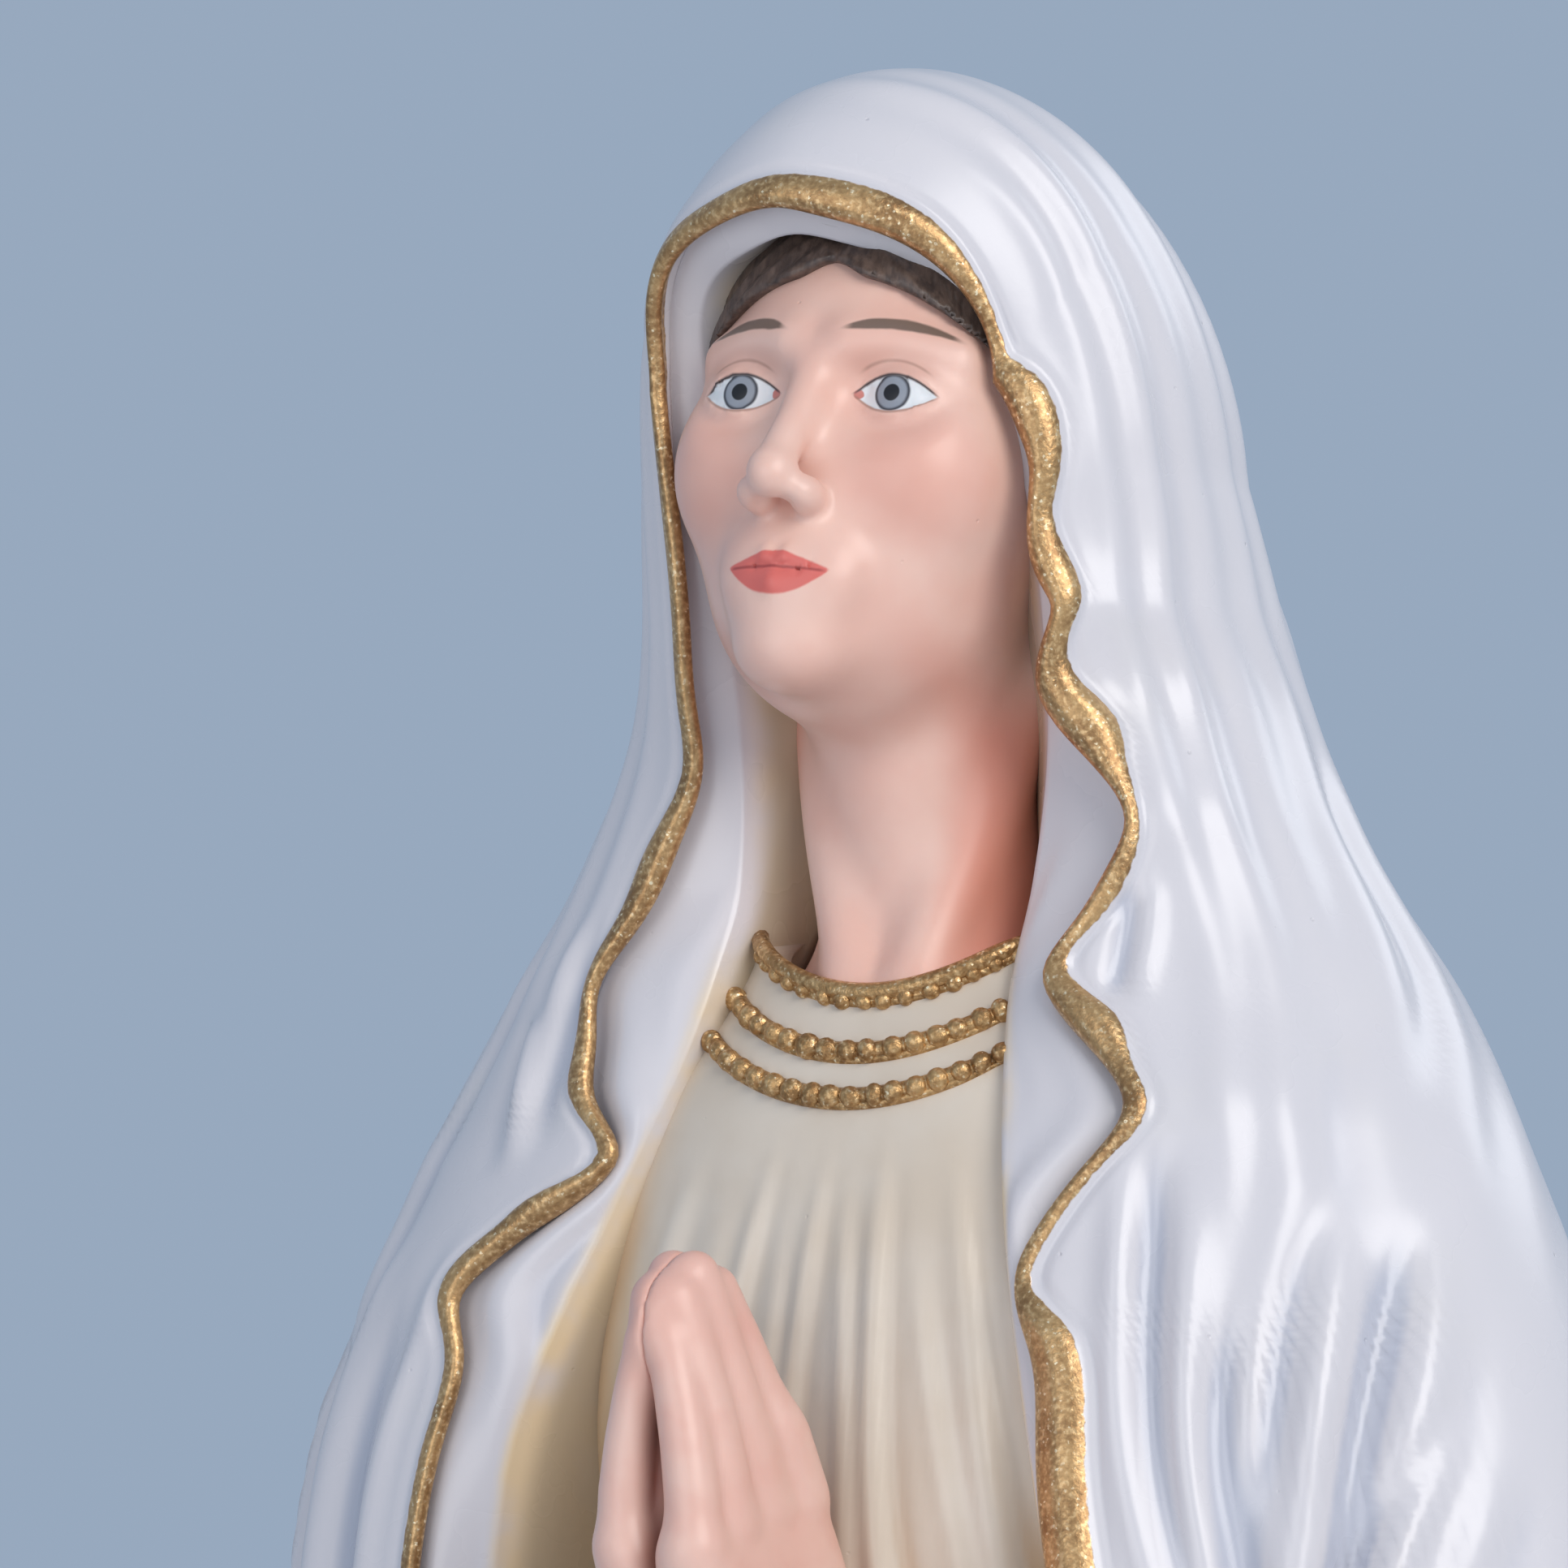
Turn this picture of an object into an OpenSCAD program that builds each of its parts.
// Standing madonna in a white mantle, cast and painted, on a round plinth.
// Origin at the middle of the plinth's underside, +Z up, the figure faces -Y.

/* [Mantle] */
// Thickness of the cast mantle
mantle_wall = 4; // [3:0.5:5]
// Half of the mantle's width at the elbows
elbow_half_w = 90; // [84:1:92]
// Half of the hood's width beside the temples
hood_half_w = 36; // [35:0.5:38]
// Half of the hood's depth
hood_half_d = 42; // [40:0.5:44]

/* [Dress] */
// Thickness of the hollow dress casting
dress_wall = 5; // [3:0.5:7]
// Diameter of the beads at the neckline
bead_d = 2.4; // [1.8:0.1:2.8]
// Distance between neighbouring beads
bead_pitch = 2.8; // [2.6:0.1:3.4]

/* [Head and hands] */
// Height of the bare head from chin to crown
head_h = 72; // [68:1:74]
// Turn of the head towards the figure's right
head_turn = 0; // [0:1:12]
// Lift of the chin
head_lift = 12; // [0:1:14]
// Turn of the joined hands towards the figure's right
hand_turn = 12; // [0:1:15]
// Length of each hand from wrist to fingertip
hand_len = 58; // [54:1:60]

/* [Base] */
// Diameter of the plinth at its foot
plinth_d = 152; // [150:1:170]
// Height of the moulded plinth without its pad
plinth_h = 28.5; // [26:0.5:32]
// Thickness of the felt pad
felt_t = 1.5; // [1:0.5:3]
// Diameter of the clamping rod
rod_d = 6; // [5:0.5:8]

/* [Hidden] */
$fn = 48;

left = 1;
right = -1;
top_z = 600;
dome_z = 550;
axis_z = 552;
arch_z = 560;
arch_rise = 20.5;
arch_peak = 1.6;
arch_power = 2.6;
waist_z = 352;
dress_top_z = 496;
ground_z = felt_t + plinth_h;
rock_top_z = 43;
dress_hem_z = 46;
mantle_hem_z = 44;
head_c = [-1, -6, 553];
hand_x = -2.3;
hand_tilt = 14;
wrist_y = -46;
wrist_z = 399;
fit_gap = 0.4;

// Height, half width, half depth and centre of the mantle, from the hood down
mantle_st = [
    [dome_z, hood_half_w, hood_half_d, 0],
    [525, 40.5, 42.5, 8.5],
    [505, 49.5, 41.5, 8.5],
    [485, 62.5, 42.5, 9],
    [460, 76, 45.5, 4.5],
    [430, 87, 49, 2.5],
    [395, elbow_half_w, 52, 2],
    [340, 81, 52, 2],
    [250, 73, 53, 2],
    [150, 70, 54, 0],
    [mantle_hem_z, 74, 57, 0]
];

// Height, distance from the middle and depth of the front edge, each side
edge_left_st = [
    [arch_z, 22, -25.5], [530, 26.5, -23], [510, 30, -20], [485, 32, -25], [460, 32, -32],
    [430, 32, -37], [395, 40, -42], [340, 46, -40], [200, 54, -37], [mantle_hem_z, 60, -34]
];
edge_right_st = [
    [arch_z, 26.5, -26], [530, 24.5, -23], [510, 27, -20], [485, 35, -23], [460, 43, -28],
    [430, 54, -33], [395, 57, -35], [340, 60, -34], [200, 62, -33], [mantle_hem_z, 63, -32]
];
// Waves of the edge: height, half length, swing outwards
edge_left_waves = [
    [563, 4, -3], [550, 6, 2.2], [533, 4, 2], [523, 5, -2.5],
    [507.5, 8, 5.5], [489, 6, -5.5], [473, 7.5, 7], [453, 8, -4.8]
];
edge_right_waves = [[514, 7, -2], [489, 7, 3.5], [467, 6, -8.5], [451, 7, 6]];

// Height, half width, front and back of the dress, from the neck down
dress_st = [
    [dress_top_z, 20, 17, 16],
    [488, 25, 18.5, 18],
    [475, 36, 24.5, 26],
    [450, 41, 31, 28],
    [420, 41, 34, 28],
    [waist_z, 38, 27, 24],
    [330, 42, 30, 28],
    [280, 50, 34, 34],
    [200, 54, 37, 38],
    [100, 57, 41, 42],
    [dress_hem_z, 60, 44, 44]
];

// Local height, half width, front and back of the head, from the crown down,
// as parts of a head 72 high
head_st = [
    [36, 3, 2, 8],
    [33, 13, 13, 20],
    [26, 21.5, 23, 28],
    [16, 24.5, 27.5, 32],
    [4, 24, 28.5, 29],
    [-8, 22, 28, 22],
    [-20, 18, 27, 14],
    [-30, 12.5, 26, 5],
    [-36, 6, 23, -6]
];

// ---------- helpers ----------
function mix(a, b, t) = a + (b - a) * t;
function clamp01(t) = max(0, min(1, t));
function ease(t) = let(c = clamp01(t)) c * c * (3 - 2 * c);
function bell(v, at, width) = exp(-pow((v - at) / width, 2));
function unit(v) = v / norm(v);
function waves(list, z, i = 0) =
    i >= len(list) ? 0 : list[i][2] * bell(z, list[i][0], list[i][1]) + waves(list, z, i + 1);

// Smooth curve through a table of stations sorted by falling height
function seat(st, z, i = 0) = (i >= len(st) - 2 || z >= st[i + 1][0]) ? i : seat(st, z, i + 1);
function smooth_at(st, z, c) =
    let(
        i = seat(st, z),
        p0 = st[max(i - 1, 0)],
        p1 = st[i],
        p2 = st[i + 1],
        p3 = st[min(i + 2, len(st) - 1)],
        h = p2[0] - p1[0],
        t = clamp01((z - p1[0]) / h),
        m1 = (p2[c] - p0[c]) / (p2[0] - p0[0]) * h,
        m2 = (p3[c] - p1[c]) / (p3[0] - p1[0]) * h
    )
    p1[c] * (2 * t * t * t - 3 * t * t + 1) + m1 * (t * t * t - 2 * t * t + t)
    + p2[c] * (3 * t * t - 2 * t * t * t) + m2 * (t * t * t - t * t);

// Closed skin over a stack of rings, listed from the bottom up, counter-clockwise from above
module loft(rings) {
    n = len(rings[0]);
    m = len(rings);
    sides = [
        for (k = [0:m - 2], i = [0:n - 1]) let(j = (i + 1) % n)
            each [[k * n + i, (k + 1) * n + i, (k + 1) * n + j], [k * n + i, (k + 1) * n + j, k * n + j]]
    ];
    bottom = [for (i = [0:n - 1]) i];
    top = [for (i = [n - 1:-1:0]) (m - 1) * n + i];
    polyhedron([for (r = rings) each r], concat(sides, [bottom, top]));
}

// Closed pipe between two stacks of rings of the same count
module pipe(outer, inner) {
    n = len(outer[0]);
    m = len(outer);
    s = n * m;
    faces = [
        for (i = [0:n - 1]) let(j = (i + 1) % n, e = (m - 1) * n)
            each concat(
                [for (k = [0:m - 2]) each [
                    [k * n + i, (k + 1) * n + i, (k + 1) * n + j],
                    [k * n + i, (k + 1) * n + j, k * n + j],
                    [s + k * n + i, s + (k + 1) * n + j, s + (k + 1) * n + i],
                    [s + k * n + i, s + k * n + j, s + (k + 1) * n + j]
                ]],
                [[i, j, s + j], [i, s + j, s + i], [e + i, s + e + j, e + j], [e + i, s + e + i, s + e + j]]
            )
    ];
    polyhedron(concat([for (r = outer) each r], [for (r = inner) each r]), faces);
}

// Closed sheet between two grids of points of the same size
module slab(outer, inner) {
    n = len(outer[0]);
    m = len(outer);
    s = n * m;
    skin = [
        for (i = [0:m - 2], j = [0:n - 2]) let(a = i * n + j, b = a + 1, c = b + n, d = a + n)
            each [[a, b, c], [a, c, d], [s + a, s + c, s + b], [s + a, s + d, s + c]]
    ];
    long_rims = [
        for (i = [0:m - 2]) let(a = i * n, d = a + n, b = a + n - 1, c = b + n)
            each [[a, d, s + d], [a, s + d, s + a], [c, b, s + b], [c, s + b, s + c]]
    ];
    end_rims = [
        for (j = [0:n - 2]) let(a = j, b = j + 1, d = (m - 1) * n + j, c = d + 1)
            each [[b, a, s + a], [b, s + a, s + b], [d, c, s + c], [d, s + c, s + d]]
    ];
    polyhedron(
        concat([for (r = outer) each r], [for (r = inner) each r]),
        concat(skin, long_rims, end_rims)
    );
}

// ---------- the mantle's surface ----------
function dome(z) = clamp01((z - dome_z) / (top_z - dome_z));
function mantle_w(z) = z > dome_z ? hood_half_w * sqrt(1 - pow(dome(z), 2)) : smooth_at(mantle_st, z, 1);
function mantle_d(z) = z > dome_z ? hood_half_d * sqrt(1 - pow(dome(z), 2)) : smooth_at(mantle_st, z, 2);
function mantle_y(z) = z > dome_z ? -10 * pow(dome(z), 1.3) : smooth_at(mantle_st, z, 3);
function inside(p) =
    p.z < top_z
    && pow(p.x / max(mantle_w(p.z), 0.01), 2)
     + pow((p.y - mantle_y(p.z)) / max(mantle_d(p.z), 0.01), 2) < 1;
function reach(o, d, lo = 0, hi = 120, k = 18) =
    k == 0 ? (lo + hi) / 2
    : let(r = (lo + hi) / 2) inside(o + d * r) ? reach(o, d, r, hi, k - 1) : reach(o, d, lo, r, k - 1);

// The front edge: an arch over the forehead, then down to the ground
arch_steps = 7;
edge_z = concat(
    [for (z = [arch_z - 5:-5:400]) z],
    [for (z = [376:-24:64]) z],
    [mantle_hem_z]
);
row_count = arch_steps + len(edge_z);
chest_rows = arch_steps + 32;
function edge_st(side) = side == left ? edge_left_st : edge_right_st;
function edge_waves(side) = side == left ? edge_left_waves : edge_right_waves;
// How far a corner of the arch stands out from a round one
function arch_corner(a) = pow(pow(abs(cos(a)), arch_power) + pow(abs(sin(a)), arch_power), -1 / arch_power);
function edge_point(k, side) =
    k <= arch_steps
    ? let(
        a = 90 * k / arch_steps,
        out = arch_corner(a),
        w = edge_st(side)[0][1] + waves(edge_waves(side), arch_z)
    )
        [side * w * sin(a) * out - 5 * pow(cos(a), 2),
         mix(-36, edge_st(side)[0][2], pow(sin(a), 2)),
         arch_z + arch_rise * cos(a) * out + arch_peak * bell(a, 0, 17)]
    : let(z = edge_z[k - arch_steps - 1])
        [side * (smooth_at(edge_st(side), z, 1) + waves(edge_waves(side), z)),
         smooth_at(edge_st(side), z, 2), z];

// Point of row k (0 over the forehead) at t, 0 on the edge and 1 down the back
function slerp(a, b, t) =
    let(w = acos(max(-1, min(1, a * b)))) (a * sin((1 - t) * w) + b * sin(t * w)) / sin(w);
function mantle_point(k, side, t, depth) =
    let(
        e = edge_point(k, side),
        o = [0, mantle_y(min(e.z, axis_z)), min(e.z, axis_z)],
        lift = 50 * ease((e.z - 535) / 45),
        d0 = unit(e - o),
        d = slerp(d0, [0, cos(lift), sin(lift)], t),
        near = pow(clamp01(1 - t / 0.35), 2),
        pull = norm(e - o) / reach(o, d0)
    )
    o + d * (reach(o, d) * mix(1, pull, t < 0 ? 1 : near) - depth);

// ---------- base ----------
module felt_pad() {
    color("darkgreen") cylinder(d = plinth_d - 6, h = felt_t);
}

module plinth() {
    r = plinth_d / 2;
    color([0.86, 0.84, 0.82])
        difference() {
            translate([0, 0, felt_t])
                rotate_extrude($fn = 96)
                    polygon(concat(
                        [[0, 0], [r - 1, 0], [r, 1], [r, 8], [r - 2, 10]],
                        [for (a = [0:15:90]) [r - 3 - 5 * sin(a), 10 + 6 * (1 - cos(a))]],
                        [for (a = [0:15:90]) [r - 8 + 2.5 * sin(a) - 2.5, 16 + (plinth_h - 16) * a / 90]],
                        [[0, plinth_h]]
                    ));
            translate([0, 0, felt_t - 1]) cylinder(d = 24, h = 11);
            translate([0, 0, felt_t]) cylinder(d = rod_d + 1, h = plinth_h + 1);
        }
}

module rock_mound() {
    n = 40;
    steps = 5;
    rings = [
        for (k = [0:steps]) let(t = k / steps, z = mix(ground_z, rock_top_z, sin(90 * t)))
            [for (i = [0:n - 1]) let(
                a = 360 * i / n,
                rough = 1 + 0.03 * sin(3 * a + 40 * k) + 0.02 * sin(7 * a + 25 * k),
                r = mix(65, 58, t * t) * (k == 0 ? 1 : rough)
            ) [r * cos(a), 0.92 * r * sin(a) - 2, z]]
    ];
    color([0.62, 0.58, 0.5])
        difference() {
            loft(rings);
            translate([0, 0, ground_z - 1]) cylinder(d = rod_d + 1, h = 20);
        }
}

module foot(side) {
    length = 34;
    n = 16;
    rings = [
        for (k = [0:8]) let(t = k / 8, w = 7.5 * sqrt(1 - pow(2 * t - 1, 4) * 0.9), h = mix(11, 6.5, t))
            [for (i = [0:n - 1]) let(a = 360 * i / n)
                [w * cos(a), h * 0.5 * sin(a) + h * 0.5, t * length]]
    ];
    color([0.93, 0.76, 0.69])
        translate([side * 15, -30, rock_top_z + fit_gap])
            rotate([0, 0, side * 8])
                rotate([90, 0, 0])
                    loft(rings);
}
module foot_left() { foot(left); }
module foot_right() { foot(right); }

// ---------- dress ----------
// Rings squared off a little, deeper in front than behind
ring_power = 2.6;
function dress_ring(z, inset, n = 40) = [
    for (i = [0:n - 1]) let(
        a = 360 * i / n,
        k = pow(pow(abs(cos(a)), ring_power) + pow(abs(sin(a)), ring_power), -1 / ring_power),
        depth = smooth_at(dress_st, z, sin(a) < 0 ? 2 : 3) - inset
    ) [k * (smooth_at(dress_st, z, 1) - inset) * cos(a), k * depth * sin(a), z]
];
function chest_y(x, z) =
    let(part = min(abs(x) / smooth_at(dress_st, z, 1), 0.985))
        -smooth_at(dress_st, z, 2) * pow(1 - pow(part, ring_power), 1 / ring_power);

module dress_part(heights) {
    pipe([for (z = heights) dress_ring(z, 0)], [for (z = heights) dress_ring(z, dress_wall)]);
}

module skirt() {
    color([0.93, 0.89, 0.82])
        dress_part(concat([dress_hem_z], [for (z = [70:25:320]) z], [336, waist_z - 6]));
}

module bodice() {
    color([0.93, 0.89, 0.82])
        dress_part(concat([waist_z - 5.6], [for (z = [360:15:465]) z], [475, 482, 489, dress_top_z]));
}

sash_gap = 0.5;
module sash_band() {
    heights = [waist_z - 8, waist_z - 4, waist_z, waist_z + 4, waist_z + 8];
    color([0.66, 0.76, 0.88])
        pipe(
            [for (z = heights) dress_ring(z, -2.6 - sash_gap)],
            [for (z = heights) dress_ring(z, -sash_gap)]
        );
}

module sash_knot() {
    color([0.66, 0.76, 0.88])
        translate([0, -36, waist_z])
            rotate([90, 0, 0])
                linear_extrude(5)
                    offset(3)
                        square([10, 8], center = true);
}

// One ribbon lying on the front of the skirt
module sash_tail(x_top, x_end, z_end) {
    width = 12;
    steps = 10;
    rows = [for (k = [0:steps]) let(t = k / steps, z = mix(z_end, waist_z - 9, t), x = mix(x_end, x_top, t))
        [for (j = [0:3]) let(px = x + width * (j / 3 - 0.5)) [px, chest_y(px, z), z]]];
    slab(
        [for (r = rows) [for (j = [3:-1:0]) r[j] - [0, 3, 0]]],
        [for (r = rows) [for (j = [3:-1:0]) r[j] - [0, 0.8, 0]]]
    );
}
module sash_tails() {
    color([0.66, 0.76, 0.88]) {
        sash_tail(7, 11, 205);
        sash_tail(-7, -12, 190);
    }
}

// Row of beads lying on the chest in the curve of a hung chain, from one x to another
module bead_row(from_x, to_x, low_z, rise) {
    count = floor((to_x - from_x) / bead_pitch * 1.15);
    for (i = [0:count]) let(x = mix(from_x, to_x, i / count), z = low_z + rise * x * x)
        translate([x, chest_y(x, z) - bead_d / 2 - 0.3, z])
            sphere(d = bead_d, $fn = 14);
}
module neckline_beading() {
    color([0.72, 0.56, 0.3]) {
        bead_row(-21, 18.5, 486, 0.019);
        bead_row(-24, 19, 479.5, 0.016);
        bead_row(-25.5, 19, 474, 0.0145);
    }
}

// ---------- arms and hands ----------
// Rings across a curved arm, given the middle line, radius and count around
function arm_line(side, t) =
    let(
        shoulder = [side * 52, 5, 462],
        elbow = [side * 72, 0, 376],
        wrist = [hand_x + side * 14, wrist_y + 1, wrist_z - 8],
        a = mix(shoulder, elbow, t),
        b = mix(elbow, wrist, t)
    )
    mix(a, b, t);
function across(p, q, r, n) =
    let(d = unit(q - p), u = unit(cross(d, [0, 1, 0.3])), v = cross(d, u))
    [for (i = [0:n - 1]) let(a = 360 * i / n) p + r * (cos(a) * u + sin(a) * v)];
module sleeve(side) {
    n = 20;
    steps = 14;
    wall = 3;
    rings = function(inset) [
        for (k = [0:steps]) let(t = 0.04 + 0.94 * k / steps, r = mix(9.5, 12.5, ease(t * 1.4)))
            across(arm_line(side, t), arm_line(side, t + 0.02), r - inset, n)
    ];
    color([0.93, 0.89, 0.82]) pipe(rings(0), rings(wall));
}
module sleeve_left() { sleeve(left); }
module sleeve_right() { sleeve(right); }

// Up the hand from the wrist: part of its length, half thickness, half breadth
hand_st = [[1, 1.6, 3], [0.94, 2.8, 6.5], [0.8, 3.6, 10.5], [0.6, 4, 12.5], [0.4, 4.3, 13.5], [0.2, 4.2, 12],
    [0, 4.3, 9]];
module hand(side) {
    n = 20;
    steps = 15;
    stub = 0.2;
    spread = 12;
    rings = [
        for (k = [0:steps]) let(
            t = mix(-stub, 1, k / steps),
            thick = smooth_at(hand_st, max(t, 0), 1),
            broad = smooth_at(hand_st, max(t, 0), 2),
            bend = spread * pow(min(t, 0) / stub, 2)
        )
            [for (i = [0:n - 1]) let(a = 360 * i / n) [
                thick * cos(a) + side * (thick + 0.2 + bend),
                broad * sin(a),
                t * hand_len
            ]]
    ];
    color([0.93, 0.76, 0.69])
        translate([hand_x, wrist_y, wrist_z])
            rotate([hand_tilt, 0, -hand_turn])
                loft(rings);
}
module hand_left() { hand(left); }
module hand_right() { hand(right); }

module wrist_dowel(side) {
    start = [hand_x + side * 22, wrist_y + 4, wrist_z - 9];
    way = arm_line(side, 0.5) - start;
    color("silver")
        translate(start)
            rotate([0, acos(way.z / norm(way)), atan2(way.y, way.x)])
                cylinder(d = 2.5, h = 16);
}
module wrist_dowel_left() { wrist_dowel(left); }
module wrist_dowel_right() { wrist_dowel(right); }

// ---------- head ----------
module place_head() {
    translate(head_c) rotate([-head_lift, 3, -head_turn]) children();
}
head_k = head_h / 72;
function skull_ring(z, grow, n = 32) =
    let(
        w = smooth_at(head_st, z, 1) + grow,
        f = smooth_at(head_st, z, 2) + grow,
        b = smooth_at(head_st, z, 3) + grow,
        mid = (b - f) / 2
    )
    [for (i = [0:n - 1]) let(
        a = 360 * i / n,
        x = w * cos(a),
        y = mid + (f + b) / 2 * sin(a),
        nose = sin(a) < 0 ? 6 * bell(x, 0, 3.4) * ease((2 - z) / 14) * ease((z + 18) / 4) : 0,
        brow = sin(a) < 0 ? 2 * bell(z, 0, 3.5) * bell(abs(x), 10, 5) : 0
    ) head_k * [x, y - nose + brow, z]];

module head() {
    color([0.93, 0.76, 0.69])
        place_head()
            loft([for (z = [-36, -34, -31, -27, -23, -20, -18, -16, -14, -11, -8, -4, 0, 4, 8, 14,
                20, 26, 30, 33, 35, 36]) skull_ring(z, 0)]);
}

// Cap of hair: a shell over the top and back of the skull, open over the face
module hair() {
    n = 24;
    gap = 0.4;
    thick = 2;
    mid = [0, 3, 4];
    shell_point = function(around, up, grow) let(
        d = [cos(around) * cos(up), sin(around) * cos(up), sin(up)],
        r = 1 / sqrt(pow(d.x / 25, 2) + pow(d.y / 30, 2) + pow(d.z / 32.5, 2))
    ) head_k * (mid + d * (r + grow));
    grid = function(grow) [
        for (k = [0:8]) [for (i = [n:-1:0]) shell_point(mix(-52, 232, i / n), mix(-8, 86, k / 8), grow)]
    ];
    color([0.25, 0.18, 0.15])
        place_head()
            slab(grid(gap + thick), grid(gap));
}

module neck() {
    rings = [
        for (k = [0:6]) let(t = k / 6, r = 14 + 1.5 * pow(1 - t, 3))
            [for (i = [0:27]) let(a = 360 * i / 28)
                [r * cos(a), r * sin(a) - 2 - 2 * t, mix(dress_top_z + fit_gap, 522, t)]]
    ];
    color([0.93, 0.76, 0.69]) loft(rings);
}

module neck_dowel() {
    color("silver") translate([0, -3, dress_top_z - 16]) cylinder(d = 6, h = 16);
}

// ---------- veils ----------
module inner_veil() {
    thick = 2.4;
    cols = 3;
    strip = function(k) mix(0.07, 0.2, ease((k - arch_steps - 6) / 13));
    grid = function(depth) [
        for (i = [-chest_rows:chest_rows]) let(k = abs(i), side = i < 0 ? right : left)
            [for (j = [0:cols]) mantle_point(k, side, mix(-strip(k), 0.05, j / cols), depth)]
    ];
    color([0.93, 0.94, 0.97])
        slab(grid(mantle_wall + fit_gap), grid(mantle_wall + fit_gap + thick));
}

module mantle() {
    cols = 12;
    wide = 2 * row_count + 1;
    layer = cols * wide + row_count + 1;
    points = [
        for (depth = [0, mantle_wall]) each concat(
            [for (j = [0:cols - 1], i = [-row_count:row_count])
                mantle_point(abs(i), i < 0 ? right : left, j / cols, depth)],
            [for (k = [0:row_count]) mantle_point(k, left, 1, depth)]
        )
    ];
    at = function(i, j, side) side * layer + (j < cols ? j * wide + i + row_count : cols * wide + abs(i));
    skin = [
        for (j = [0:cols - 1], i = [-row_count:row_count - 1])
            let(a = at(i, j, 0), b = at(i, j + 1, 0), c = at(i + 1, j + 1, 0), d = at(i + 1, j, 0))
                each [[a, b, c], [a, c, d],
                    [layer + a, layer + c, layer + b], [layer + a, layer + d, layer + c]]
    ];
    front_rim = [
        for (i = [-row_count:row_count - 1]) let(a = at(i, 0, 0), d = at(i + 1, 0, 0))
            each [[a, d, layer + d], [a, layer + d, layer + a]]
    ];
    foot_rim = [
        for (j = [0:cols - 1], side = [-1, 1]) let(
            p = at(side * row_count, j, 0),
            q = at(side * row_count, j + 1, 0),
            a = side > 0 ? p : q,
            b = side > 0 ? q : p
        )
            each [[a, b, layer + b], [a, layer + b, layer + a]]
    ];
    color([0.93, 0.94, 0.97]) polyhedron(points, concat(skin, front_rim, foot_rim));
}

// ---------- the clamp inside ----------
plate_z = 110;
module tie_rod() {
    color("silver") translate([0, 0, felt_t + 1]) cylinder(d = rod_d, h = plate_z + 14);
}
module rod_plate() {
    color([0.55, 0.42, 0.3])
        translate([0, 0, plate_z])
            difference() {
                cylinder(d = 66, h = 8);
                translate([0, 0, -1]) cylinder(d = rod_d + 1, h = 10);
            }
}
module ring_at(z, outer_d, h) {
    translate([0, 0, z])
        difference() {
            cylinder(d = outer_d, h = h);
            translate([0, 0, -1]) cylinder(d = rod_d + 0.2, h = h + 2);
        }
}
module rod_washers() {
    color("silver") {
        ring_at(felt_t + 8.4, 18, 1.6);
        ring_at(plate_z + 8, 18, 1.6);
    }
}
module hex_at(z) {
    translate([0, 0, z])
        difference() {
            cylinder(d = 11.5, h = 5, $fn = 6);
            translate([0, 0, -1]) cylinder(d = rod_d + 0.2, h = 7);
        }
}
module rod_nuts() {
    color("silver") {
        hex_at(felt_t + 3.2);
        hex_at(plate_z + 9.8);
    }
}

felt_pad();
plinth();
rock_mound();
foot_left();
foot_right();
skirt();
bodice();
sash_band();
sash_knot();
sash_tails();
sleeve_left();
sleeve_right();
hand_left();
hand_right();
wrist_dowel_left();
wrist_dowel_right();
neck();
head();
hair();
neck_dowel();
neckline_beading();
inner_veil();
mantle();
tie_rod();
rod_plate();
rod_washers();
rod_nuts();
